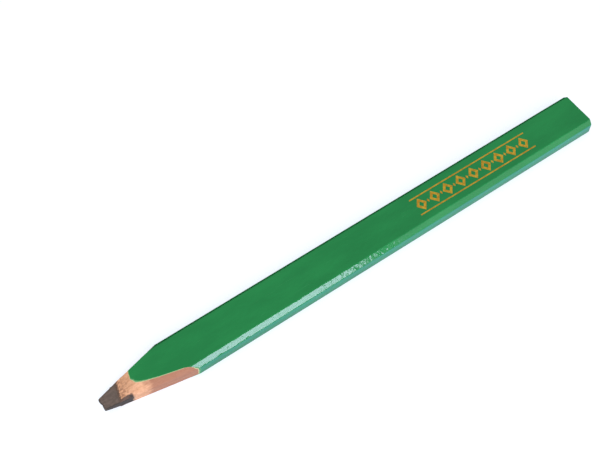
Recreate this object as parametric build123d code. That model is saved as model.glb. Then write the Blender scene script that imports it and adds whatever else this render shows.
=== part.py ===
from build123d import *
import os
from math import cos, radians, sin

# Flat carpenter's pencil, sharpened once, in millimetres.
# +X runs from the writing tip to the butt, +Y to the back, +Z up.
# The origin is the bottom centre of the pencil's bounding box.

# Body: a flattened octagonal stick.
LENGTH = 176.2
WIDTH = 13.2
HEIGHT = 6.9
CHAMFER_ACROSS = 1.25
CHAMFER_DOWN = 1.6
EDGE_RADIUS = 0.35

# Coats and glue films.
LACQUER_THICKNESS = 0.08
PRIMER_THICKNESS = 0.04
GLUE_THICKNESS = 0.1

# Flat graphite strip in the middle of the section.
LEAD_WIDTH = 6.4
LEAD_THICKNESS = 2.3

# Sharpened point; distances called "_reach" are measured from the tip end.
# Front cut: an elliptical cone whose apex lies past the tip end, kept in front of its axis.
CONE_APEX_REACH = -10.57
CONE_APEX_SIDE = -0.72
CONE_APEX_RISE = 0.1
CONE_HALF_WIDTH_PER_MM = 0.259
CONE_HALF_HEIGHT_PER_MM = 0.1661
CONE_LEAN_BACK = 0.0964
CONE_NEAR_REACH = -2.0
CONE_FAR_REACH = 50.0
# The upright plane where the knife entered for the conical cut; nothing is cut behind it.
ENTRY_REACH = 25.3
ENTRY_SIDE = -5.38
ENTRY_PER_MM = 0.443
# Front flat: an upright plane that takes the narrow side down along the whole point.
FRONT_FLAT_REACH = 27.9
FRONT_FLAT_PER_MM = 0.1717
# Back cut: two flats that meet in a ridge at mid-height.
BACK_FLAT_REACH = 11.2
BACK_FLAT_SIDE = 3.5
BACK_FLAT_PER_MM = 0.243
BACK_FLAT_PER_MM_DOWN = 0.384
# Cross cuts on the broad faces, down to the graphite.
CROSS_CUT_REACH = 9.7
CROSS_CUT_FALL = 27.0
CROSS_CUT_SKEW = 18.0
# Chisel cuts on the graphite itself.
TIP_THICKNESS = 0.95
CHISEL_REACH = 5.2

# Gold foil border on the upper broad face: two long rules with lozenges and beads between.
STAMP_START = 109.3
STAMP_LENGTH = 45.6
STAMP_HEIGHT = 6.4
STAMP_SKEW = -0.4
STAMP_SIDE = -0.15
RULE_HEIGHT = 0.42
LOZENGE_COUNT = 9
LOZENGE_LENGTH = 3.7
LOZENGE_HEIGHT = 4.6
LOZENGE_OPENING = 0.45
BEAD_LENGTH = 0.8
BEAD_HEIGHT = 1.3
STAMP_DEPTH = 0.05
FOIL_THICKNESS = 0.03

TIP_X = -LENGTH / 2
MID_Z = HEIGHT / 2
CUTTER_SIZE = 200.0


def stick(section):
    """A prism with the given section, running the pencil's whole length."""
    return extrude(Plane.YZ.offset(TIP_X) * Pos(0, MID_Z) * section, LENGTH)


def body_section(inset):
    """The octagonal section with rounded corners, shrunk by inset on every side."""
    half_width = WIDTH / 2
    half_height = HEIGHT / 2
    flat_side = half_height - CHAMFER_DOWN
    flat_top = half_width - CHAMFER_ACROSS
    quarter = [(half_width, flat_side), (flat_top, half_height)]
    upper = quarter + [(-y, z) for y, z in reversed(quarter)]
    lower = [(-y, -z) for y, z in upper]
    octagon = make_face(Polyline(*upper, *lower, close=True))
    rounded = fillet(octagon.vertices(), EDGE_RADIUS)
    return offset(rounded, -inset) if inset else rounded


def groove_section(extra):
    """The graphite strip's rectangle, grown by extra on every side."""
    return Rectangle(LEAD_WIDTH + 2 * extra, LEAD_THICKNESS + 2 * extra)


def outside_plane(point, normal):
    """A large block that fills the space on the outer side of a cutting plane."""
    align = (Align.CENTER, Align.CENTER, Align.MIN)
    block = Box(CUTTER_SIZE, CUTTER_SIZE, CUTTER_SIZE, align=align)
    return Plane(origin=point, z_dir=normal) * block


def cone_ring(reach):
    """The front cone's elliptical outline at a distance from the tip end."""
    run = reach - CONE_APEX_REACH
    side = CONE_APEX_SIDE + CONE_LEAN_BACK * run
    ring = Ellipse(CONE_HALF_WIDTH_PER_MM * run, CONE_HALF_HEIGHT_PER_MM * run)
    return Plane.YZ.offset(TIP_X + reach) * Pos(side, MID_Z + CONE_APEX_RISE) * ring


def cone_apex():
    return (TIP_X + CONE_APEX_REACH, CONE_APEX_SIDE, MID_Z + CONE_APEX_RISE)


def cone_cut():
    """What the conical cut takes away: in front of the cone's axis and of the entry plane."""
    cone = loft([cone_ring(CONE_NEAR_REACH), cone_ring(CONE_FAR_REACH)], ruled=True)
    length = CONE_FAR_REACH - CONE_NEAR_REACH
    slab = Pos(TIP_X + CONE_NEAR_REACH, 0, MID_Z) * Box(
        length, CUTTER_SIZE, CUTTER_SIZE, align=(Align.MIN, Align.CENTER, Align.CENTER)
    )
    slab = slab & outside_plane(cone_apex(), (CONE_LEAN_BACK, -1, 0))
    slab = slab & outside_plane((TIP_X + ENTRY_REACH, ENTRY_SIDE, MID_Z), (-ENTRY_PER_MM, -1, 0))
    return slab - cone


def front_flat_cut():
    """The flat along the front of the point."""
    return outside_plane((TIP_X + FRONT_FLAT_REACH, -WIDTH / 2, MID_Z), (-FRONT_FLAT_PER_MM, -1, 0))


def back_cuts():
    """The two sloping flats on the back of the point."""
    point = (TIP_X + BACK_FLAT_REACH, BACK_FLAT_SIDE)
    upper = outside_plane((*point, HEIGHT), (-BACK_FLAT_PER_MM, 1, BACK_FLAT_PER_MM_DOWN))
    lower = outside_plane((*point, 0), (-BACK_FLAT_PER_MM, 1, -BACK_FLAT_PER_MM_DOWN))
    return [upper, lower]


def cross_cuts():
    """The skewed flats that bare the wood above and below the graphite."""
    fall = radians(CROSS_CUT_FALL)
    skew = radians(CROSS_CUT_SKEW)
    across = (-sin(fall) * cos(skew), sin(fall) * sin(skew))
    upper = outside_plane((TIP_X + CROSS_CUT_REACH, 0, HEIGHT), (*across, cos(fall)))
    lower = outside_plane((TIP_X + CROSS_CUT_REACH, 0, 0), (*across, -cos(fall)))
    return [upper, lower]


def chisel_cuts():
    """The two shallow flats that thin the graphite towards the tip end."""
    rise = (LEAD_THICKNESS - TIP_THICKNESS) / 2
    upper = outside_plane((TIP_X, 0, MID_Z + TIP_THICKNESS / 2), (-rise, 0, CHISEL_REACH))
    lower = outside_plane((TIP_X, 0, MID_Z - TIP_THICKNESS / 2), (-rise, 0, -CHISEL_REACH))
    return [upper, lower]


def take_away(solid, cutters):
    """The solid less every cutter in turn."""
    for cutter in cutters:
        solid = solid - cutter
    return solid


def half_block(side):
    """A block over the upper (1) or lower (-1) half, clear of the glued seam."""
    align = (Align.CENTER, Align.CENTER, Align.MIN if side > 0 else Align.MAX)
    block = Box(2 * LENGTH, CUTTER_SIZE, CUTTER_SIZE, align=align)
    return Pos(0, 0, MID_Z + side * GLUE_THICKNESS / 2) * block


def wood_section():
    """The bare wooden stick under the two coats."""
    return body_section(LACQUER_THICKNESS + PRIMER_THICKNESS)


def slat(side, cuts):
    """One grooved wooden half: side is 1 for the upper and -1 for the lower."""
    wood = stick(wood_section() - groove_section(GLUE_THICKNESS)) & half_block(side)
    return take_away(wood, cuts)


def seam_glue(side, cuts):
    """The glue film between the halves: side is 1 behind the graphite and -1 in front."""
    align = (Align.MIN if side > 0 else Align.MAX, Align.CENTER)
    strip = Rectangle(WIDTH, GLUE_THICKNESS, align=align)
    film = Pos(side * (LEAD_WIDTH / 2 + GLUE_THICKNESS), 0) * strip & wood_section()
    return take_away(stick(film), cuts)


def core_bond(cuts):
    """The glue film all round the graphite strip."""
    return take_away(stick(groove_section(GLUE_THICKNESS) - groove_section(0)), cuts)


def coat(outer_inset, thickness, cuts):
    """One coat of paint: a closed skin of even thickness round the stick."""
    skin = body_section(outer_inset) - body_section(outer_inset + thickness)
    return take_away(stick(skin), cuts)


def lozenge(length, height):
    right = length / 2
    top = height / 2
    return make_face(Polyline((right, 0), (0, top), (-right, 0), (0, -top), close=True))


def stamp_pattern():
    """The foil shapes, flat, in the bottom plane of their pockets."""
    pitch = STAMP_LENGTH / LOZENGE_COUNT
    first = (pitch - STAMP_LENGTH) / 2
    rule = Rectangle(STAMP_LENGTH, RULE_HEIGHT)
    rule_side = (STAMP_HEIGHT - RULE_HEIGHT) / 2
    diamond = lozenge(LOZENGE_LENGTH, LOZENGE_HEIGHT)
    diamond = diamond - lozenge(LOZENGE_LENGTH * LOZENGE_OPENING, LOZENGE_HEIGHT * LOZENGE_OPENING)
    bead = lozenge(BEAD_LENGTH, BEAD_HEIGHT)
    shapes = [Pos(0, side) * rule for side in (-rule_side, rule_side)]
    shapes += [Pos(first + pitch * i, 0) * diamond for i in range(LOZENGE_COUNT)]
    shapes += [Pos(first + pitch * (i + 0.5), 0) * bead for i in range(LOZENGE_COUNT - 1)]
    middle = TIP_X + STAMP_START + STAMP_LENGTH / 2
    place = Pos(middle, STAMP_SIDE, HEIGHT - STAMP_DEPTH) * Rot(0, 0, STAMP_SKEW)
    return [place * shape for shape in shapes]


def build():
    point = [front_flat_cut(), cone_cut()] + back_cuts()
    wood_point = point + cross_cuts()
    pattern = stamp_pattern()
    pockets = [extrude(shape, STAMP_DEPTH, dir=(0, 0, 1)) for shape in pattern]
    foil = [extrude(shape, FOIL_THICKNESS, dir=(0, 0, 1)) for shape in pattern]
    lacquer = coat(0, LACQUER_THICKNESS, wood_point)
    return {
        "graphite_core": take_away(stick(groove_section(0)), point + chisel_cuts()),
        "core_bond": core_bond(wood_point),
        "lower_slat": slat(-1, wood_point),
        "upper_slat": slat(1, wood_point),
        "seam_glue_front": seam_glue(-1, [front_flat_cut()]),
        "seam_glue_back": seam_glue(1, back_cuts()),
        "primer_coat": coat(LACQUER_THICKNESS, PRIMER_THICKNESS, wood_point),
        "lacquer_coat": take_away(lacquer, pockets),
        "foil_stamp": Compound(foil),
    }


os.makedirs("parts", exist_ok=True)
for name, shape in build().items():
    export_step(shape, f"parts/{name}.step")
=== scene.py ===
import math

import bpy
import numpy as np
from mathutils import Matrix, Vector


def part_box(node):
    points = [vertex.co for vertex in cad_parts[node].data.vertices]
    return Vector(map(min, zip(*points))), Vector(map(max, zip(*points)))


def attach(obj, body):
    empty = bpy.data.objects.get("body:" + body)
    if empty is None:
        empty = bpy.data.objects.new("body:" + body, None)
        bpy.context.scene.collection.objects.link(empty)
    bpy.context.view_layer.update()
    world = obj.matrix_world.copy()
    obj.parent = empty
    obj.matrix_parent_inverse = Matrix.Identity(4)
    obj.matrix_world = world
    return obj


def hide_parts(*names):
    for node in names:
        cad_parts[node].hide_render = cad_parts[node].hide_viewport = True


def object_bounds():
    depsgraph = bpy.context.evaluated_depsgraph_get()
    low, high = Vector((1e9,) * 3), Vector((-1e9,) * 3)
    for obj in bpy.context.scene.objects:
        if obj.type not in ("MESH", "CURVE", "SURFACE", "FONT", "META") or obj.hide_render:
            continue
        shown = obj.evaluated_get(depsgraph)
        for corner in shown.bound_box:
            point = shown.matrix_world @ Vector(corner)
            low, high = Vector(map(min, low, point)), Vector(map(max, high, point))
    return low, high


# Looks of a flat carpenter's pencil. Shapes are worked out in millimetres and made in metres.
# "reach" is the distance from the writing tip's end along +X. Sections are measured from mid-height.
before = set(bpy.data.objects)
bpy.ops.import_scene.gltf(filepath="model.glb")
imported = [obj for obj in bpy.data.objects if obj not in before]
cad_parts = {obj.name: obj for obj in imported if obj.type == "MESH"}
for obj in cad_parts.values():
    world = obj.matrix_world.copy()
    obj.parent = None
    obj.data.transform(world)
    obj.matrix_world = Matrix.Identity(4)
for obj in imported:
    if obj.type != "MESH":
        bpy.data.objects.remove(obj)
cad_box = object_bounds()

MM = 0.001
TURN = 2 * math.pi


def node_size(node):
    """Length, width and height of a CAD node, in millimetres."""
    low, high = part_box(node)
    return [(high[i] - low[i]) / MM for i in range(3)]


LENGTH = (cad_box[1].x - cad_box[0].x) / MM
TIP_X = cad_box[0].x / MM
_, WIDTH, HEIGHT = node_size("lacquer_coat")
_, LEAD_WIDTH, LEAD_THICKNESS = node_size("graphite_core")
LACQUER = (WIDTH - node_size("primer_coat")[1]) / 2
PRIMER = (WIDTH - node_size("upper_slat")[1]) / 2 - LACQUER
GLUE = node_size("seam_glue_back")[2]
MID_Z = HEIGHT / 2

# Body section, as in the design.
CHAMFER_ACROSS = 1.25
CHAMFER_DOWN = 1.6
EDGE_RADIUS = 0.35

# Point, as in the design.
CONE_APEX_REACH = -10.57
CONE_APEX_SIDE = -0.72
CONE_APEX_RISE = 0.1
CONE_HALF_WIDTH_PER_MM = 0.259
CONE_HALF_HEIGHT_PER_MM = 0.1661
CONE_LEAN_BACK = 0.0964
ENTRY_REACH = 25.3
ENTRY_SIDE = -5.38
ENTRY_PER_MM = 0.443
FRONT_FLAT_REACH = 27.9
FRONT_FLAT_PER_MM = 0.1717
BACK_FLAT_REACH = 11.2
BACK_FLAT_SIDE = 3.5
BACK_FLAT_PER_MM = 0.243
BACK_FLAT_PER_MM_DOWN = 0.384
CROSS_CUT_REACH = 9.7
CROSS_CUT_FALL = math.radians(27.0)
CROSS_CUT_SKEW = math.radians(18.0)
TIP_THICKNESS = 0.95
CHISEL_REACH = 5.2

# Foil border, as in the design.
STAMP_START = 109.3
STAMP_LENGTH = 45.6
STAMP_HEIGHT = 6.4
STAMP_SKEW = math.radians(-0.4)
STAMP_SIDE = -0.15
RULE_HEIGHT = 0.42
LOZENGE_COUNT = 9
LOZENGE_LENGTH = 3.7
LOZENGE_HEIGHT = 4.6
LOZENGE_OPENING = 0.45
BEAD_LENGTH = 0.8
BEAD_HEIGHT = 1.3

# How finely the pieces are meshed. All cuts end before POINT_END.
POINT_END = 34.0
WOOD_SPACING = 0.12
WOOD_ROWS = 130
BUTT_ROWS = 14
RIM_ROWS = 4
FRONT_ROWS = 60
BODY_SPACING = 1.5
STAMP_SPACING = 0.17
STAMP_MARGIN = 0.6
LEAD_SPACING = 0.09
LEAD_SHOWN = 10.0
CUT_SEARCH_START = -0.5
CUT_SEARCH_STEP = 0.05
# FAR stands for a radius that no cut limits; the others keep the rows of a cut layer apart.
FAR = 50.0
LEAST_THICKNESS = 0.001
LEAST_WOOD = 0.01
LEAST_RIM = 0.02

# Wear: the tip is rounded and chipped, and the knife's planes meet softly.
TIP_WEAR = 0.14
CHIP_DEPTH = 0.26
CHIP_FADE = 0.5
CUT_SOFTNESS = 0.8
SAW_MARKS = 0.02
# The gloss coat sinks in under the foil, sloping beyond its outline, and rounds off at the butt.
PAINT_UNEVENNESS = 0.006
PAINT_SETTLES = 0.6
PRESS_DEPTH = 0.045
PRESS_SLOPE = (0.02, 0.20)
BUTT_ROUNDING = 0.35
BUTT_ROUNDING_SHARE = 0.8
# How far the sawn ends of the other layers lie short of the gloss coat's end.
UNDERCOAT_SHORT = 0.01
WOOD_SHORT = 0.02
GLUE_SHORT = 0.03
LEAD_SHORT = 0.05


# ---------------------------------------------------------------- noise

class Noise:
    """Smooth, repeatable value noise on a wrapped lattice, from -1 to 1."""

    SIZE = 32

    def __init__(self, seed):
        self.table = np.random.default_rng(seed).uniform(-1, 1, (self.SIZE,) * 3)

    def __call__(self, x, y, z):
        points = np.broadcast_arrays(x, y, z)
        cells = [np.floor(p).astype(int) for p in points]
        blends = [(p - c) ** 2 * (3 - 2 * (p - c)) for p, c in zip(points, cells)]
        total = 0
        for corner in np.ndindex(2, 2, 2):
            weight = 1
            for blend, step in zip(blends, corner):
                weight = weight * (blend if step else 1 - blend)
            index = tuple((c + step) % self.SIZE for c, step in zip(cells, corner))
            total = total + weight * self.table[index]
        return total


knife_noise = Noise(11)
fibre_noise = Noise(23)
tear_noise = Noise(37)
paint_noise = Noise(41)
lead_noise = Noise(53)


def smooth(low, high, value):
    """0 below low, 1 above high, and a smooth ramp between."""
    t = np.clip((value - low) / (high - low), 0, 1)
    return t * t * (3 - 2 * t)


# ---------------------------------------------------------------- sections

def octagon_sides(inset):
    """Normal angle and distance of the eight flats, going round from +Y."""
    lean = math.atan2(CHAMFER_ACROSS, CHAMFER_DOWN)
    slant = WIDTH / 2 * math.cos(lean) + (MID_Z - CHAMFER_DOWN) * math.sin(lean)
    angles = [0, lean, math.pi / 2, math.pi - lean]
    angles += [a + math.pi for a in angles]
    distances = [WIDTH / 2, slant, MID_Z, slant] * 2
    return angles, [d - inset for d in distances]


def octagon_corners():
    """Centres of the eight rounded corners; corner i joins flat i to the next one."""
    angles, distances = octagon_sides(EDGE_RADIUS)
    corners = []
    for i in range(8):
        j = (i + 1) % 8
        normals = np.array([[math.cos(a), math.sin(a)] for a in (angles[i], angles[j])])
        corners.append(np.linalg.solve(normals, [distances[i], distances[j]]))
    return corners


def section_radius(theta, inset, centre=0.0):
    """Distance from (0, centre) to the rounded octagon shrunk by inset, in direction theta."""
    c, s = np.cos(theta), np.sin(theta)
    angles, distances = octagon_sides(inset)
    radius = np.full(np.shape(theta), np.inf)
    for a, d in zip(angles, distances):
        along = c * math.cos(a) + s * math.sin(a)
        flat = (d - centre * math.sin(a)) / np.maximum(along, 1e-9)
        radius = np.where(along > 1e-9, np.minimum(radius, flat), radius)
    round_radius = EDGE_RADIUS - inset
    for i, (y, z) in enumerate(octagon_corners()):
        along = y * c + (z - centre) * s
        gap = round_radius ** 2 - (y * y + (z - centre) ** 2 - along ** 2)
        hit = along + np.sqrt(np.maximum(gap, 0))
        normal = np.arctan2(centre + hit * s - z, hit * c - y) % TURN
        first, last = angles[i], angles[(i + 1) % 8]
        turn = (normal - first) % TURN
        radius = np.where((gap > 0) & (turn <= (last - first) % TURN), hit, radius)
    return radius


def slot_radius(theta, grow, centre=0.0):
    """Distance from (0, centre) to the graphite's rectangle grown by grow, in direction theta."""
    c, s = np.cos(theta), np.sin(theta)
    side = (LEAD_WIDTH / 2 + grow) / np.maximum(np.abs(c), 1e-9)
    rise = LEAD_THICKNESS / 2 + grow
    top = (rise - centre * np.sign(s)) / np.maximum(np.abs(s), 1e-9)
    return np.minimum(side, top)


# ---------------------------------------------------------------- sharpened point

def cone_radius(reach, c, s, centre):
    """Distance to the front cone; no limit where the ray leaves it behind its axis."""
    run = reach - CONE_APEX_REACH
    axis = CONE_APEX_SIDE + CONE_LEAN_BACK * run
    a, b = CONE_HALF_WIDTH_PER_MM * run, CONE_HALF_HEIGHT_PER_MM * run
    rise = centre - CONE_APEX_RISE
    square = (c / a) ** 2 + (s / b) ** 2
    half = -axis * c / a ** 2 + rise * s / b ** 2
    rest = (axis / a) ** 2 + (rise / b) ** 2 - 1
    hit = (-half + np.sqrt(np.maximum(half ** 2 - square * rest, 0))) / square
    entry = plane_radius(-ENTRY_SIDE + ENTRY_PER_MM * (reach - ENTRY_REACH), -c)
    return np.where(hit * c < axis, np.maximum(hit, entry), np.inf)


def plane_radius(rhs, along):
    """Distance to a cutting plane, given its clearance and its slope along the ray."""
    hit = np.maximum(rhs, 0) / np.maximum(along, 1e-6)
    return np.where(along > 1e-6, hit, np.where(rhs < 0, 0, np.inf))


def side_cut_radius(reach, c, s, centre, side):
    """The cuts that taper the point's width: the front cone and flat, and the two back flats."""
    slope = BACK_FLAT_PER_MM_DOWN
    limit = BACK_FLAT_SIDE + BACK_FLAT_PER_MM * (reach - BACK_FLAT_REACH)
    back = plane_radius(limit + slope * (MID_Z - side * centre), c + slope * side * s)
    front = plane_radius(WIDTH / 2 + FRONT_FLAT_PER_MM * (reach - FRONT_FLAT_REACH), -c)
    return np.minimum(cone_radius(reach, c, s, centre), np.minimum(front, back))


def cross_cut_radius(reach, c, s, centre, side):
    """The skewed flats that bare the wood above and below the graphite."""
    fall, skew = CROSS_CUT_FALL, CROSS_CUT_SKEW
    limit = math.cos(fall) * (MID_Z - side * centre)
    limit = limit + math.sin(fall) * math.cos(skew) * (reach - CROSS_CUT_REACH)
    return plane_radius(limit, math.sin(fall) * math.sin(skew) * c + math.cos(fall) * side * s)


def soft_least(a, b, softness):
    """The lesser of two radii, rounded off by a quarter of softness where they cross."""
    gap = np.clip(np.abs(b - a) / np.maximum(softness, 1e-6), 0, 1)
    return np.minimum(a, b) - softness / 4 * (1 - gap) ** 2


def cut_roughness(x, y, z):
    """Marks that the knife left: broad strokes, raised fibres, tears near the graphite and nicks."""
    strokes = 0.035 * knife_noise(x / 5.0, y / 1.4 + x / 9.0, z / 1.4)
    fibres = 0.014 * fibre_noise(x / 2.2, y / 0.16, z / 0.16)
    near_lead = 1 - smooth(5.5, 11.0, x)
    tears = 0.16 * near_lead * tear_noise(x / 0.9, y / 0.5, z / 0.5)
    nicks = 0.012 * tear_noise(x / 0.5 + 9, y / 0.5, z / 0.5)
    return strokes + fibres + tears + nicks


def wood_cut_radius(reach, theta, centre=0.0):
    """Where the knife's surface lies in the wood and the paint, in direction theta."""
    c, s = np.cos(theta), np.sin(theta)
    side = np.where(centre == 0, np.where(s < 0, -1, 1), np.sign(centre))
    sides = np.minimum(side_cut_radius(reach, c, s, centre, side), FAR)
    cross = np.minimum(cross_cut_radius(reach, c, s, centre, side), FAR)
    axis = CONE_APEX_SIDE + CONE_LEAN_BACK * (reach - CONE_APEX_REACH)
    before_axis = smooth(0.0, 1.2, axis - cross * c)
    radius = soft_least(sides, cross, CUT_SOFTNESS * before_axis)
    bounded = np.minimum(radius, WIDTH)
    return radius + cut_roughness(reach, bounded * c, centre + bounded * s)


def lead_radius(reach, theta):
    """The graphite strip, thinned to a chisel, with fine scratches and dents."""
    c, s = np.cos(theta), np.sin(theta)
    side = np.where(s < 0, -1, 1)
    cut = side_cut_radius(reach, c, s, 0.0, side)
    half = TIP_THICKNESS / 2 + (LEAD_THICKNESS - TIP_THICKNESS) / 2 * reach / CHISEL_REACH
    chisel = half / np.maximum(np.abs(s), 1e-6)
    radius = np.minimum(cut, chisel)
    bounded = np.minimum(radius, WIDTH)
    y, z = bounded * c, bounded * s
    scratches = 0.02 * lead_noise(reach / 1.6 + y, y / 0.14, z / 0.2)
    dents = 0.03 * lead_noise(reach / 0.7, y / 0.6 + 5, z / 0.5)
    return np.minimum(radius + scratches + dents, slot_radius(theta, 0.0))


def last_crossing(cut, limit, theta):
    """For each direction, the reach beyond which the cut lies outside the limit radius."""
    reach = np.arange(CUT_SEARCH_START, POINT_END, CUT_SEARCH_STEP)
    depth = cut(reach[:, None], theta[None, :]) - limit[None, :]
    inside = depth < 0
    last = len(reach) - 1 - np.argmax(inside[::-1], axis=0)
    last = np.where(inside.any(axis=0), np.minimum(last, len(reach) - 2), 0)
    column = np.arange(len(theta))
    before, after = depth[last, column], depth[last + 1, column]
    share = np.clip(before / np.where(before == after, 1, before - after), 0, 1)
    return np.where(inside.any(axis=0), reach[last] + CUT_SEARCH_STEP * share, CUT_SEARCH_START)


# ---------------------------------------------------------------- meshes

def spread_angles(radius_of, start, stop, spacing, crowd):
    """Directions whose points are evenly spaced on the outline, closer together where it bends."""
    fine = np.linspace(start, stop, 6001)
    radius = radius_of(fine)
    y, z = radius * np.cos(fine), radius * np.sin(fine)
    length = np.hypot(np.diff(y), np.diff(z))
    heading = np.unwrap(np.arctan2(np.diff(z), np.diff(y)))
    bend = np.abs(np.append(0, np.diff(heading)))
    travel = np.append(0, np.cumsum(length + crowd * bend))
    count = max(int(round(travel[-1] / spacing)), 8)
    return np.interp(np.linspace(0, travel[-1], count + 1), travel, fine)


def section_points(reach, theta, radius, centre=0.0):
    """Points in the part's frame, in metres, from cylindrical ones in millimetres."""
    y = radius * np.cos(theta)
    z = centre + radius * np.sin(theta)
    x = np.broadcast_to(reach, y.shape)
    return np.stack([(TIP_X + x) * MM, y * MM, (MID_Z + z) * MM], axis=-1)


def grid_faces(rows, columns, wrap_rows, wrap_columns):
    """Quads of a grid of points, facing outwards where columns turn from +Y to +Z."""
    i = np.arange(rows if wrap_rows else rows - 1)[:, None]
    k = np.arange(columns if wrap_columns else columns - 1)[None, :]
    j, m = (i + 1) % rows, (k + 1) % columns
    corners = [i * columns + k, i * columns + m, j * columns + m, j * columns + k]
    return np.stack(np.broadcast_arrays(*corners), axis=-1).reshape(-1, 4).tolist()


def piece(name, points, faces, materials, replaced):
    """One closed mesh that rides with the pencil and stands for the CAD node replaced."""
    mesh = bpy.data.meshes.new(name)
    mesh.from_pydata(points.reshape(-1, 3).tolist(), [], faces)
    mesh.validate()
    mesh.polygons.foreach_set("use_smooth", [True] * len(mesh.polygons))
    mesh.set_sharp_from_angle(angle=math.radians(35))
    for material in materials:
        mesh.materials.append(material)
    obj = bpy.data.objects.new(name, mesh)
    bpy.context.scene.collection.objects.link(obj)
    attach(obj, "root")
    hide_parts(replaced)
    return obj


def shell_points(theta, centre, starts, inner, outer_rows, cap_rows, end_reach):
    """Rows of a closed shell: over the outside, across the butt, and back along the inside."""
    first = section_points(starts, theta, inner, centre)
    outer = [section_points(reach, theta, radius, centre) for reach, radius in outer_rows]
    cap = [section_points(reach, theta, radius, centre) for reach, radius in cap_rows]
    last = section_points(np.full_like(theta, end_reach), theta, inner, centre)
    return np.stack([first, *outer, *cap, last])


def shares(count):
    """Even steps from just above 0 up to 1."""
    return [n / count for n in range(1, count + 1)]


def half_faces(rows, columns):
    """Faces of a shell that covers half a turn, with its two seam faces."""
    faces = grid_faces(rows, columns, True, False)
    faces.append([r * columns for r in range(rows)])
    faces.append([r * columns + columns - 1 for r in reversed(range(rows))])
    return faces


def wood_half(name, side, material, replaced):
    """One wooden half with its knife-cut end, groove, seam faces and sawn butt."""
    centre = side * GLUE / 2
    inset = LACQUER + PRIMER
    start = 0.0 if side > 0 else math.pi

    def body(theta):
        return section_radius(theta, inset, centre)

    def cut(reach, theta):
        return wood_cut_radius(reach, theta, centre)

    theta = spread_angles(body, start, start + math.pi, WOOD_SPACING, 0.2)
    inner = slot_radius(theta, GLUE, centre)
    outside = body(theta)
    starts = last_crossing(cut, inner, theta)
    edges = np.maximum(last_crossing(cut, outside, theta), starts + LEAST_WOOD)
    rows = []
    for share in shares(WOOD_ROWS):
        reach = starts + (edges - starts) * share
        rows.append((reach, np.clip(cut(reach, theta), inner + LEAST_THICKNESS, outside)))
    rows[-1] = (edges, outside)
    for share in (0.02, 1):
        rows.append((edges + (LENGTH - edges) * share, outside))
    # The sawn face lies slightly inside a lip of fibres that reaches the full length.
    cap = []
    for share in shares(BUTT_ROWS)[:-1]:
        radius = outside + (inner - outside) * share
        saw = SAW_MARKS * fibre_noise(radius * np.cos(theta) / 2, 7, radius * np.sin(theta) / 0.22)
        cap.append((LENGTH - WOOD_SHORT + saw, radius))
    points = shell_points(theta, centre, starts, inner, rows, cap, LENGTH - WOOD_SHORT)
    faces = half_faces(len(points), len(theta))
    return piece(name, points, faces, [material], replaced)


def coat_rows(theta, inner, outer):
    """Where a layer's inside and its outside start, and the rows of the cut rim between them."""
    starts = last_crossing(wood_cut_radius, inner, theta)
    edges = np.maximum(last_crossing(wood_cut_radius, outer, theta), starts + LEAST_RIM)
    rows = []
    for share in shares(RIM_ROWS)[:-1]:
        reach = starts + (edges - starts) * share
        radius = wood_cut_radius(reach, theta)
        rows.append((reach, np.clip(radius, inner + LEAST_THICKNESS, outer)))
    rows.append((edges, outer))
    return starts, edges, rows


def undercoat(material):
    """The pale coat under the green one; only its cut rim and its butt end show."""
    theta = spread_angles(lambda t: section_radius(t, LACQUER), 0, TURN, WOOD_SPACING, 0.2)[:-1]
    inner, outer = (section_radius(theta, inset) for inset in (LACQUER + PRIMER, LACQUER))
    starts, _, rows = coat_rows(theta, inner, outer)
    end = LENGTH - UNDERCOAT_SHORT
    rows += [(np.full_like(theta, reach), outer) for reach in (POINT_END, end)]
    points = shell_points(theta, 0.0, starts, inner, rows, [], end)
    faces = grid_faces(len(points), len(theta), True, True)
    return piece("undercoat", points, faces, [material], "primer_coat")


def lozenge_distance(x, y, length, height):
    """Signed distance, near enough, to a lozenge's outline; negative inside."""
    a, b = length / 2, height / 2
    return (np.abs(x) / a + np.abs(y) / b - 1) * a * b / math.hypot(a, b)


def stamp_distance(reach, y):
    """Signed distance to the foil border's outline on the upper face."""
    u = reach - (STAMP_START + STAMP_LENGTH / 2)
    v = y - STAMP_SIDE
    cos, sin = math.cos(STAMP_SKEW), math.sin(STAMP_SKEW)
    u, v = u * cos + v * sin, v * cos - u * sin
    half = STAMP_LENGTH / 2
    pitch = STAMP_LENGTH / LOZENGE_COUNT
    rule_side = (STAMP_HEIGHT - RULE_HEIGHT) / 2
    rule = np.maximum(np.abs(np.abs(v) - rule_side) - RULE_HEIGHT / 2, np.abs(u) - half)
    local = (u + half) % pitch - pitch / 2
    outer = lozenge_distance(local, v, LOZENGE_LENGTH, LOZENGE_HEIGHT)
    opening = (LOZENGE_LENGTH * LOZENGE_OPENING, LOZENGE_HEIGHT * LOZENGE_OPENING)
    hole = lozenge_distance(local, v, *opening)
    diamond = np.where(np.abs(u) < half, np.maximum(outer, -hole), np.inf)
    local = (u + half + pitch / 2) % pitch - pitch / 2
    bead = lozenge_distance(local, v, BEAD_LENGTH, BEAD_HEIGHT)
    bead = np.where(np.abs(u) < half - pitch / 2, bead, np.inf)
    return np.minimum(rule, np.minimum(diamond, bead))


def paint_radius(reach, theta, flat):
    """The gloss coat's outside: slightly uneven, pressed in under the foil, rounded at the butt."""
    c, s = np.cos(theta), np.sin(theta)
    uneven = PAINT_UNEVENNESS * (paint_noise(reach / 9.0, flat * c / 3.0, flat * s / 3.0) - 1)
    pressed = PRESS_DEPTH * (1 - smooth(*PRESS_SLOPE, stamp_distance(reach, flat * c)))
    on_top = flat * s > MID_Z - 0.01
    past = np.clip((reach - (LENGTH - BUTT_ROUNDING)) / BUTT_ROUNDING, 0, 1)
    rounded = BUTT_ROUNDING_SHARE * LACQUER * (1 - np.sqrt(1 - past ** 2))
    return flat + uneven - np.where(on_top, pressed / np.maximum(s, 0.3), 0) - rounded


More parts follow.
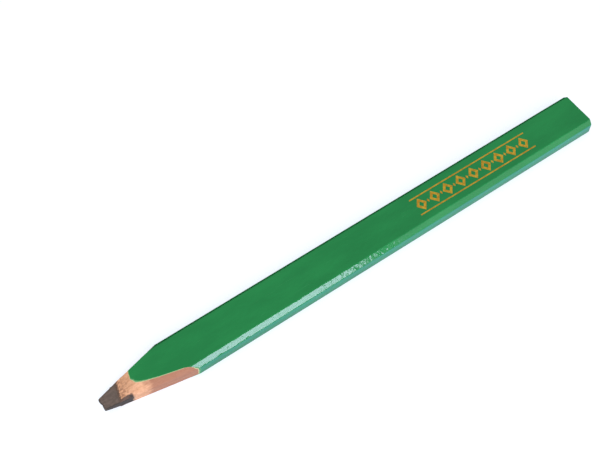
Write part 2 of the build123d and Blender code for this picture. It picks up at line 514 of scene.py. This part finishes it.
def paint_reaches():
    """Rows along the body: close together under the foil and at the rounded butt edge."""
    stamp_start = STAMP_START - STAMP_MARGIN
    stamp_end = STAMP_START + STAMP_LENGTH + STAMP_MARGIN
    plain = np.arange(POINT_END, stamp_start, BODY_SPACING)
    stamp = np.arange(stamp_start, stamp_end, STAMP_SPACING)
    rest = np.arange(stamp_end + 0.2, LENGTH - BUTT_ROUNDING - 0.5, BODY_SPACING)
    turn = LENGTH - BUTT_ROUNDING * (1 - np.sin(np.linspace(0, math.pi / 2, 8)))
    return np.concatenate([plain, stamp, rest, turn])


def gloss_coat(paint, cut_paint):
    """The green coat, with a cut rim of its own material round the point."""
    theta = spread_angles(lambda t: section_radius(t, 0.0), 0, TURN, STAMP_SPACING, 0.3)[:-1]
    inner, outer = (section_radius(theta, inset) for inset in (LACQUER, 0.0))
    starts, edges, rows = coat_rows(theta, inner, outer)
    for share in shares(FRONT_ROWS)[:-1]:
        reach = edges + (POINT_END - edges) * share
        settle = smooth(0, PAINT_SETTLES, reach - edges)
        rows.append((reach, outer + (paint_radius(reach, theta, outer) - outer) * settle))
    for reach in paint_reaches():
        rows.append((np.full_like(theta, reach), paint_radius(reach, theta, outer)))
    points = shell_points(theta, 0.0, starts, inner, rows, [], LENGTH)
    faces = grid_faces(len(points), len(theta), True, True)
    obj = piece("gloss_coat", points, faces, [paint, cut_paint], "lacquer_coat")
    rim = np.zeros(len(faces), int)
    rim[: RIM_ROWS * len(theta)] = 1
    obj.data.polygons.foreach_set("material_index", rim)
    return obj


def graphite_strip(material):
    """The flat graphite, bared and worn at the writing tip."""
    theta = spread_angles(lambda t: slot_radius(t, 0.0), 0, TURN, LEAD_SPACING, 0.15)[:-1]
    end = LENGTH - LEAD_SHORT
    reaches = np.append(np.arange(0, LEAD_SHOWN, LEAD_SPACING), [LEAD_SHOWN, end - 0.05, end])
    rows = []
    for reach in reaches:
        radius = lead_radius(np.full_like(theta, reach), theta)
        wear = TIP_WEAR * np.exp(-reach / TIP_WEAR)
        chip = tip_chip(radius * np.cos(theta)) * np.exp(-reach / CHIP_FADE)
        rows.append(section_points(reach + chip, theta, np.maximum(radius - wear, radius * 0.6)))
    first, last = rows[0], rows[-1]
    middle = first.mean(axis=0)
    front = [middle + (first - middle) * share for share in (0.35, 0.8)]
    end_middle = last.mean(axis=0)
    back = [end_middle + (last - end_middle) * share for share in (0.9, 0.5)]
    points = np.stack([*front, *rows, *back])
    count = len(theta)
    faces = grid_faces(len(points), count, False, True)
    faces.append(list(reversed(range(count))))
    faces.append([(len(points) - 1) * count + k for k in range(count)])
    return piece("graphite_strip", points, faces, [material], "graphite_core")


def tip_chip(y):
    """How far the worn edge of the tip falls short of its full length."""
    step = CHIP_DEPTH * smooth(1.0, 0.5, y) * smooth(-2.1, 0.4, y)
    return step + 0.05 * lead_noise(0, y / 0.3, 3)


def bond_film(material):
    """The film of glue round the graphite strip."""
    theta = spread_angles(lambda t: slot_radius(t, 0.0), 0, TURN, WOOD_SPACING, 0.15)[:-1]
    inner, outer = (slot_radius(theta, grow) for grow in (0.0, GLUE))
    starts, _, rows = coat_rows(theta, inner, outer)
    end = LENGTH - GLUE_SHORT
    rows.append((np.full_like(theta, end), outer))
    points = shell_points(theta, 0.0, starts, inner, rows, [], end)
    faces = grid_faces(len(points), len(theta), True, True)
    return piece("bond_film", points, faces, [material], "core_bond")


def seam_film(name, side, material, replaced):
    """The film of glue between the two halves, behind (1) or in front of (-1) the graphite."""
    theta = np.array([0.0 if side > 0 else math.pi])
    near = LEAD_WIDTH / 2 + GLUE
    far = WIDTH / 2 - LACQUER - PRIMER
    start = last_crossing(wood_cut_radius, np.array([near]), theta)[0]
    reaches = np.append(np.arange(start, POINT_END, 0.2), LENGTH - GLUE_SHORT)
    outer = np.clip(wood_cut_radius(reaches, theta[0]), near + 2 * LEAST_THICKNESS, far)
    rows = [[(near, -1), (edge, -1), (edge, 1), (near, 1)] for edge in outer]
    points = np.array([
        [((TIP_X + reach) * MM, side * y * MM, (MID_Z + z * GLUE / 2) * MM) for y, z in row]
        for reach, row in zip(reaches, rows)
    ])
    if side < 0:
        points = points[:, ::-1]
    faces = grid_faces(len(points), 4, False, True)
    faces.append([3, 2, 1, 0])
    faces.append([(len(points) - 1) * 4 + k for k in range(4)])
    return piece(name, points, faces, [material], replaced)


# ---------------------------------------------------------------- materials

PAINT_DEEP = (0.012, 0.202, 0.054)
PAINT_LIGHT = (0.015, 0.231, 0.062)
PAINT_SPECK = (0.006, 0.08, 0.03)
PAINT_SCUFF = (0.10, 0.36, 0.17)
WOOD_LIGHT = (0.78, 0.43, 0.26)
WOOD_DARK = (0.62, 0.31, 0.17)
WOOD_ROSY = (0.34, 0.145, 0.088)
WOOD_PORE = (0.38, 0.16, 0.09)
WOOD_DUST = (0.30, 0.14, 0.09)
END_GRAIN_LIGHT = (0.62, 0.50, 0.43)
END_GRAIN_DARK = (0.36, 0.26, 0.21)
GRAPHITE_LIGHT = (0.150, 0.108, 0.092)
GRAPHITE_DARK = (0.085, 0.062, 0.053)
# GRAPHITE_EDGE is also the painted shade along the graphite's front side.
GRAPHITE_EDGE = (0.030, 0.026, 0.024)
GRAPHITE_SMEAR = (0.085, 0.058, 0.048)
FOIL_LIGHT = (0.88, 0.54, 0.05)
FOIL_DARK = (0.55, 0.27, 0.02)
CUT_PAINT_DARK = (0.04, 0.26, 0.08)
CUT_PAINT_LIGHT = (0.12, 0.34, 0.12)
UNDERCOAT_DARK = (0.42, 0.46, 0.22)
UNDERCOAT_LIGHT = (0.58, 0.54, 0.30)
GLUE_DARK = (0.40, 0.21, 0.11)
GLUE_LIGHT = (0.52, 0.30, 0.17)

# The growth rings at the butt: their centre in millimetres, and their phase per millimetre.
PITH = (0, 26, -17)
RING_RATE = 8.5


class Finish:
    """A node material whose textures are laid out in millimetres along the pencil."""

    def __init__(self, name, **shader):
        self.material = bpy.data.materials.new(name)
        self.material.use_nodes = True
        self.tree = self.material.node_tree
        self.shader = self.tree.nodes["Principled BSDF"]
        self.put(self.shader, shader)
        place = self.node("ShaderNodeTexCoord").outputs["Object"]
        scaled = self.node("ShaderNodeMapping", {"Vector": place, "Scale": (1 / MM,) * 3})
        self.place = scaled.outputs["Vector"]
        axes = self.node("ShaderNodeSeparateXYZ", {"Vector": self.place})
        self.x, self.y = axes.outputs["X"], axes.outputs["Y"]

    def put(self, node, inputs):
        """Links sockets and sets plain values; an underscore in a socket's name is a space."""
        for key, value in inputs.items():
            key = key.replace("_", " ") if isinstance(key, str) else key
            if isinstance(value, bpy.types.NodeSocket):
                self.tree.links.new(value, node.inputs[key])
            else:
                node.inputs[key].default_value = value

    def node(self, kind, inputs=None, **settings):
        """A new node of the tree with its settings and inputs filled in."""
        made = self.tree.nodes.new(kind)
        for key, value in settings.items():
            setattr(made, key, value)
        self.put(made, inputs or {})
        return made

    def math(self, operation, a, b=0.0):
        """One arithmetic step on two values or sockets."""
        return self.node("ShaderNodeMath", {0: a, 1: b}, operation=operation).outputs[0]

    def ramp(self, value, low, high, start=0.0, end=1.0):
        """A smooth ramp from start to end while value goes from low to high."""
        inputs = {"Value": value, "From Min": low, "From Max": high, "To Min": start, "To Max": end}
        return self.node("ShaderNodeMapRange", inputs, interpolation_type="SMOOTHSTEP").outputs["Result"]

    def noise(self, size, detail=2.0, roughness=0.5, shift=0.0):
        """Noise whose blobs are about size millimetres along X, Y and Z."""
        inputs = {"Vector": self.place, "Scale": tuple(1 / d for d in size), "Location": (shift,) * 3}
        vector = self.node("ShaderNodeMapping", inputs).outputs["Vector"]
        inputs = {"Vector": vector, "Scale": 1.0, "Detail": detail, "Roughness": roughness}
        return self.node("ShaderNodeTexNoise", inputs).outputs[0]

    def mix(self, share, a, b):
        """Colour a where share is 0 and colour b where it is 1."""
        made = self.node("ShaderNodeMix", data_type="RGBA")
        for socket, value in zip((made.inputs[0], made.inputs[6], made.inputs[7]), (share, a, b)):
            if isinstance(value, bpy.types.NodeSocket):
                self.tree.links.new(value, socket)
            else:
                socket.default_value = (*value, 1.0)
        return made.outputs[2]

    def front(self, reach):
        """Distance behind the flat along the front of the point."""
        clear = WIDTH / 2 - FRONT_FLAT_PER_MM * FRONT_FLAT_REACH
        slope = self.math("MULTIPLY", reach, FRONT_FLAT_PER_MM)
        return self.math("ADD", self.math("ADD", self.y, slope), clear)

    def bump(self, layers):
        """Stacks bumps; each layer is a height and its depth in millimetres."""
        normal = None
        for height, depth in layers:
            inputs = {"Height": height, "Distance": depth * MM, "Strength": 1.0}
            if normal is not None:
                inputs["Normal"] = normal
            normal = self.node("ShaderNodeBump", inputs).outputs["Normal"]
        self.put(self.shader, {"Normal": normal})

    def finish(self, colour, roughness=None, metallic=None):
        """Wires the colour and, where they vary over the surface, roughness and metallic."""
        wanted = {"Base_Color": colour, "Roughness": roughness, "Metallic": metallic}
        self.put(self.shader, {key: value for key, value in wanted.items() if value is not None})
        return self.material


def green_paint():
    """Gloss paint with orange peel, dust specks, dull patches and fine scratches."""
    f = Finish("green_gloss_paint", IOR=1.45)
    cloud = f.noise((16, 5, 5), 3)
    colour = f.mix(f.ramp(cloud, 0.3, 0.7), PAINT_DEEP, PAINT_LIGHT)
    specks = f.ramp(f.noise((0.42, 0.3, 0.3), 1, shift=5), 0.76, 0.82)
    colour = f.mix(f.math("MULTIPLY", specks, 0.7), colour, PAINT_SPECK)
    scratch = f.noise((9, 0.09, 0.09), 2, shift=3)
    marks = f.ramp(scratch, 0.70, 0.78)
    colour = f.mix(f.math("MULTIPLY", marks, 0.25), colour, PAINT_SCUFF)
    dull = f.ramp(f.noise((7, 2.2, 2.2), 4, shift=9), 0.35, 0.7, 0.09, 0.16)
    roughness = f.math("ADD", dull, f.math("MULTIPLY", marks, 0.2))
    peel = f.noise((1.3, 0.8, 0.8), 2, 0.4, shift=1)
    waves = f.noise((4.0, 2.0, 2.0), 1, shift=2)
    f.bump([(peel, 0.06), (waves, 0.05), (specks, 0.006), (marks, -0.003)])
    return f.finish(colour, roughness)


def cut_paint():
    """The knife-cut edge of the green coat, paler in patches than its face."""
    f = Finish("cut_green_paint", Roughness=0.5)
    patches = f.ramp(f.noise((0.8, 0.3, 0.3), 3), 0.35, 0.65)
    colour = f.mix(patches, CUT_PAINT_DARK, CUT_PAINT_LIGHT)
    f.bump([(f.noise((1.2, 0.12, 0.12), 2, shift=4), 0.02)])
    return f.finish(colour)


def pale_undercoat():
    """Dull yellowish undercoat, as it shows at the cut rim."""
    f = Finish("pale_undercoat", Roughness=0.6)
    patches = f.ramp(f.noise((1.5, 0.6, 0.6), 3), 0.3, 0.7)
    colour = f.mix(patches, UNDERCOAT_DARK, UNDERCOAT_LIGHT)
    f.bump([(f.noise((1.0, 0.15, 0.15), 2, shift=4), 0.015)])
    return f.finish(colour)


def dried_glue():
    """Amber wood glue, blackened with graphite near the writing tip."""
    f = Finish("dried_wood_glue", Roughness=0.5)
    colour = f.mix(f.ramp(f.noise((2.0, 0.5, 0.5), 2), 0.3, 0.7), GLUE_DARK, GLUE_LIGHT)
    reach = f.math("SUBTRACT", f.x, TIP_X)
    colour = f.mix(f.ramp(reach, 7.0, 9.0, 0.9, 0.0), colour, GRAPHITE_SMEAR)
    return f.finish(colour)


def bare_wood():
    """Straight-grained pinkish softwood, knife-cut, with dust from the graphite near the tip."""
    f = Finish("bare_softwood", Specular_IOR_Level=0.25)
    reach = f.math("SUBTRACT", f.x, TIP_X)
    grain = f.noise((14, 0.55, 0.55), 3, 0.55)
    fine = f.noise((3.5, 0.13, 0.13), 3, 0.6, shift=6)
    tone = f.math("ADD", f.math("MULTIPLY", grain, 0.55), f.math("MULTIPLY", fine, 0.45))
    colour = f.mix(f.ramp(tone, 0.36, 0.62), WOOD_DARK, WOOD_LIGHT)
    wander = f.math("MULTIPLY", f.noise((2.5, 1.5, 1.5), 3, shift=8), 5.0)
    # Darker and rosier from about 14 to 17 mm behind the tip, along a wandering border.
    rosier_further_back = f.ramp(f.math("ADD", reach, wander), 13.8, 17.4)
    colour = f.mix(f.math("MULTIPLY", rosier_further_back, 0.85), colour, WOOD_ROSY)
    mottle = f.ramp(f.noise((0.7, 0.35, 0.35), 3, 0.6, shift=18), 0.5, 0.7)
    colour = f.mix(f.math("MULTIPLY", mottle, 0.35), colour, WOOD_PORE)
    pores = f.ramp(f.noise((1.3, 0.11, 0.11), 2, shift=2), 0.64, 0.74)
    colour = f.mix(f.math("MULTIPLY", pores, 0.55), colour, WOOD_PORE)
    blotch = f.ramp(f.noise((0.8, 0.5, 0.5), 3, shift=12), 0.42, 0.62)
    dusty = f.math("MULTIPLY", f.ramp(reach, 6.5, 10.0, 0.7, 0.0), blotch)
    colour = f.mix(dusty, colour, WOOD_DUST)
    colour = smeared(f, reach, colour)
    sawn = f.ramp(reach, LENGTH - 0.5, LENGTH - 0.3)
    colour = f.mix(sawn, colour, end_grain(f))
    f.bump([(fine, 0.035), (pores, -0.02), (f.noise((0.5, 0.2, 0.2), 3, shift=30), 0.02)])
    return f.finish(colour, f.ramp(tone, 0.3, 0.7, 0.78, 0.6))


def smeared(f, reach, colour):
    """The wood's colour with graphite rubbed in round the bared strip and along the front, and a
    near-black patch at the front.
    """
    ragged = f.math("MULTIPLY", f.noise((0.55, 0.45, 0.45), 3, shift=15), 1.6)
    from_lead = f.math("ADD", f.math("SUBTRACT", reach, f.math("MULTIPLY", f.y, 0.32)), ragged)
    from_front = f.math("ADD", f.front(reach), f.math("MULTIPLY", ragged, 0.5))
    beside_lead = f.ramp(reach, 8.0, 8.6, 1.0, 0.0)
    along_front = f.math("MULTIPLY", f.ramp(from_front, 0.9, 1.3, 1.0, 0.0), beside_lead)
    smear = f.math("MAXIMUM", f.ramp(from_lead, 6.2, 6.7, 1.0, 0.0), along_front)
    colour = f.mix(f.math("MULTIPLY", smear, 0.92), colour, GRAPHITE_SMEAR)
    # A near-black patch along the front, from about 6.6 to 8.6 mm behind the tip.
    dark_front_patch = f.math("MULTIPLY", along_front, f.ramp(reach, 6.6, 7.6, 0.0, 0.7))
    return f.mix(dark_front_patch, colour, GRAPHITE_EDGE)


def end_grain(f):
    """Growth rings and sawn fibres, as they show at the butt."""
    from_pith = f.node("ShaderNodeVectorMath", {0: f.place, 1: PITH}, operation="SUBTRACT")
    inputs = {0: from_pith.outputs[0], 1: (0, 1, 1)}
    across = f.node("ShaderNodeVectorMath", inputs, operation="MULTIPLY")
    distance = f.node("ShaderNodeVectorMath", {0: across.outputs[0]}, operation="LENGTH")
    wavy = f.math("MULTIPLY", f.noise((9, 2.2, 2.2), 3, shift=22), 1.6)
    place = f.math("ADD", distance.outputs["Value"], wavy)
    ring = f.math("SINE", f.math("MULTIPLY", place, RING_RATE))
    fibres = f.noise((0.4, 0.16, 0.16), 3, 0.7, shift=20)
    tone = f.math("ADD", f.math("MULTIPLY", ring, 0.14), fibres)
    return f.mix(f.ramp(tone, 0.25, 0.80), END_GRAIN_LIGHT, END_GRAIN_DARK)


def worn_graphite():
    """Graphite and clay, rubbed smooth along the pencil with a dull metallic sheen; painted shade
    darkens its front side.
    """
    f = Finish("worn_graphite", IOR=1.6, Specular_Tint=(1.0, 0.90, 0.80, 1.0))
    reach = f.math("SUBTRACT", f.x, TIP_X)
    cloud = f.noise((1.4, 0.7, 0.7), 4, 0.6)
    colour = f.mix(f.ramp(cloud, 0.3, 0.7), GRAPHITE_DARK, GRAPHITE_LIGHT)
    # The last half-millimetre at the tip is darker.
    worn = f.ramp(reach, 0.0, 0.55, 0.75, 0.0)
    # Painted shade: the graphite darkens towards its front side, and is duller there.
    side = f.ramp(f.front(reach), 0.05, 0.45, 0.85, 0.0)
    colour = f.mix(f.math("MAXIMUM", worn, side), colour, GRAPHITE_EDGE)
    rub = f.noise((1.8, 0.10, 0.10), 3, 0.6, shift=4)
    f.bump([(rub, 0.018), (f.noise((0.25, 0.2, 0.2), 2, shift=9), 0.012)])
    dull = f.math("MULTIPLY", side, 0.5)
    shine = f.math("SUBTRACT", f.ramp(cloud, 0.3, 0.7, 0.15, 0.4), dull)
    roughness = f.math("ADD", f.ramp(rub, 0.3, 0.7, 0.36, 0.6), dull)
    return f.finish(colour, roughness, f.math("MAXIMUM", shine, 0.0))


def gold_foil():
    """Hot-stamped foil: orange gold, lighter and darker in patches, rubbed through in small patches."""
    f = Finish("worn_gold_foil")
    cloud = f.noise((1.0, 0.8, 0.8), 4, 0.6)
    colour = f.mix(f.ramp(cloud, 0.32, 0.68), FOIL_DARK, FOIL_LIGHT)
    worn = f.ramp(f.noise((0.5, 0.28, 0.28), 4, 0.65, shift=7), 0.60, 0.68)
    colour = f.mix(f.math("MULTIPLY", worn, 0.85), colour, PAINT_LIGHT)
    f.bump([(f.noise((0.35, 0.3, 0.3), 3, shift=3), 0.012)])
    return f.finish(colour, f.ramp(cloud, 0.3, 0.7, 0.45, 0.3), f.ramp(worn, 0.0, 1.0, 0.55, 0.0))


# ---------------------------------------------------------------- the pencil

glue = dried_glue()
wood = bare_wood()
gloss_coat(green_paint(), cut_paint())
undercoat(pale_undercoat())
wood_half("wood_half_upper", 1, wood, "upper_slat")
wood_half("wood_half_lower", -1, wood, "lower_slat")
graphite_strip(worn_graphite())
bond_film(glue)
seam_film("seam_film_front", -1, glue, "seam_glue_front")
seam_film("seam_film_back", 1, glue, "seam_glue_back")
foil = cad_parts["foil_stamp"]
foil.data.materials.clear()
foil.data.materials.append(gold_foil())


# ---------------------------------------------------------------- stage, camera and light

# Cards that only reflections see, in metres.
CARD_MIDDLE = 0.02
CARD_LENGTH = 0.32
CARD_LIFT = 0.0004

CAMERA_PLACE = (-0.13594, -0.13781, 0.32024)
CAMERA_TARGET = (-0.00803, 0.01810, 0.0)
CAMERA_ROLL = math.radians(4.05)
CAMERA_LENS = 75.0
CAMERA_SENSOR = 36.0


def white_floor():
    """A large pale floor, lit a little from within so that it stays even."""
    bpy.ops.mesh.primitive_plane_add(size=6.0, location=(0, 0, 0))
    floor = bpy.context.object
    floor.name = "floor"
    material = bpy.data.materials.new("white_paper_floor")
    material.use_nodes = True
    shader = material.node_tree.nodes["Principled BSDF"]
    shader.inputs["Base Color"].default_value = (0.42, 0.42, 0.42, 1)
    shader.inputs["Emission Color"].default_value = (0.84, 0.90, 1.0, 1)
    shader.inputs["Emission Strength"].default_value = 0.75
    shader.inputs["Roughness"].default_value = 1.0
    shader.inputs["Specular IOR Level"].default_value = 0.0
    floor.data.materials.append(material)


def reflection_card(name, near, far, colour):
    """A card just above the floor from near to far along Y, seen only in reflections."""
    middle = (CARD_MIDDLE, (near + far) / 2, CARD_LIFT)
    bpy.ops.mesh.primitive_plane_add(size=1.0, location=middle)
    card = bpy.context.object
    card.name = name
    card.scale = (CARD_LENGTH, abs(far - near), 1.0)
    material = bpy.data.materials.new(name)
    material.use_nodes = True
    shader = material.node_tree.nodes["Principled BSDF"]
    shader.inputs["Base Color"].default_value = (0.0, 0.0, 0.0, 1)
    shader.inputs["Specular IOR Level"].default_value = 0.0
    shader.inputs["Emission Color"].default_value = (*colour, 1)
    shader.inputs["Emission Strength"].default_value = 1.0
    card.data.materials.append(material)
    for ray in ("camera", "diffuse", "shadow", "transmission", "volume_scatter"):
        setattr(card, "visible_" + ray, False)


def aim(obj, place, target, roll=0.0):
    """Puts obj at place, looking at target, turned by roll about its line of sight."""
    ahead = (Vector(target) - Vector(place)).normalized()
    turn = ahead.to_track_quat("-Z", "Y").to_matrix().to_4x4() @ Matrix.Rotation(roll, 4, "Z")
    obj.matrix_world = Matrix.Translation(place) @ turn


def softbox(name, place, target, width, height, radiance, colour=(1, 1, 1)):
    """A rectangular light of even brightness that the camera doesn't see."""
    data = bpy.data.lights.new(name, "AREA")
    data.shape = "RECTANGLE"
    data.size, data.size_y = width, height
    data.energy = radiance * math.pi * width * height
    data.color = colour
    lamp = bpy.data.objects.new(name, data)
    bpy.context.scene.collection.objects.link(lamp)
    lamp.visible_camera = False
    aim(lamp, place, target)


def camera():
    """The camera at the viewing angle that shows the upper face, the front and the point."""
    data = bpy.data.cameras.new("camera")
    data.lens = CAMERA_LENS
    data.sensor_width = CAMERA_SENSOR
    data.clip_start = 0.01
    obj = bpy.data.objects.new("camera", data)
    bpy.context.scene.collection.objects.link(obj)
    aim(obj, CAMERA_PLACE, CAMERA_TARGET, CAMERA_ROLL)
    bpy.context.scene.camera = obj


white_floor()
reflection_card("black_card", 0.008, 0.088, (0.0, 0.0, 0.0))
reflection_card("cool_card", -0.0078, -0.088, (0.52, 0.88, 1.45))
reflection_card("contact_card", -0.0058, -0.0078, (0.62, 0.58, 1.05))
camera()
softbox("key", (-0.26, -0.52, 0.80), (0, 0, 0), 0.6, 0.6, 5.5)
softbox("overhead", (-0.32, 0.08, 1.0), (0, 0, 0), 0.5, 0.5, 3.2)
softbox("front_card", (0.058, -0.40, 0.075), (0.058, 0, 0.075), 0.18, 0.10, 10.0, (0.95, 1.0, 1.35))
softbox("end_card", (0.32, -0.40, 0.085), (0.32, 0, 0.085), 0.28, 0.15, 0.9)
world = bpy.data.worlds.new("studio")
bpy.context.scene.world = world
world.use_nodes = True
world.node_tree.nodes["Background"].inputs["Color"].default_value = (1, 1, 1, 1)
world.node_tree.nodes["Background"].inputs["Strength"].default_value = 0.3
bpy.context.scene.view_settings.view_transform = "Standard"
bpy.context.scene.view_settings.look = "None"
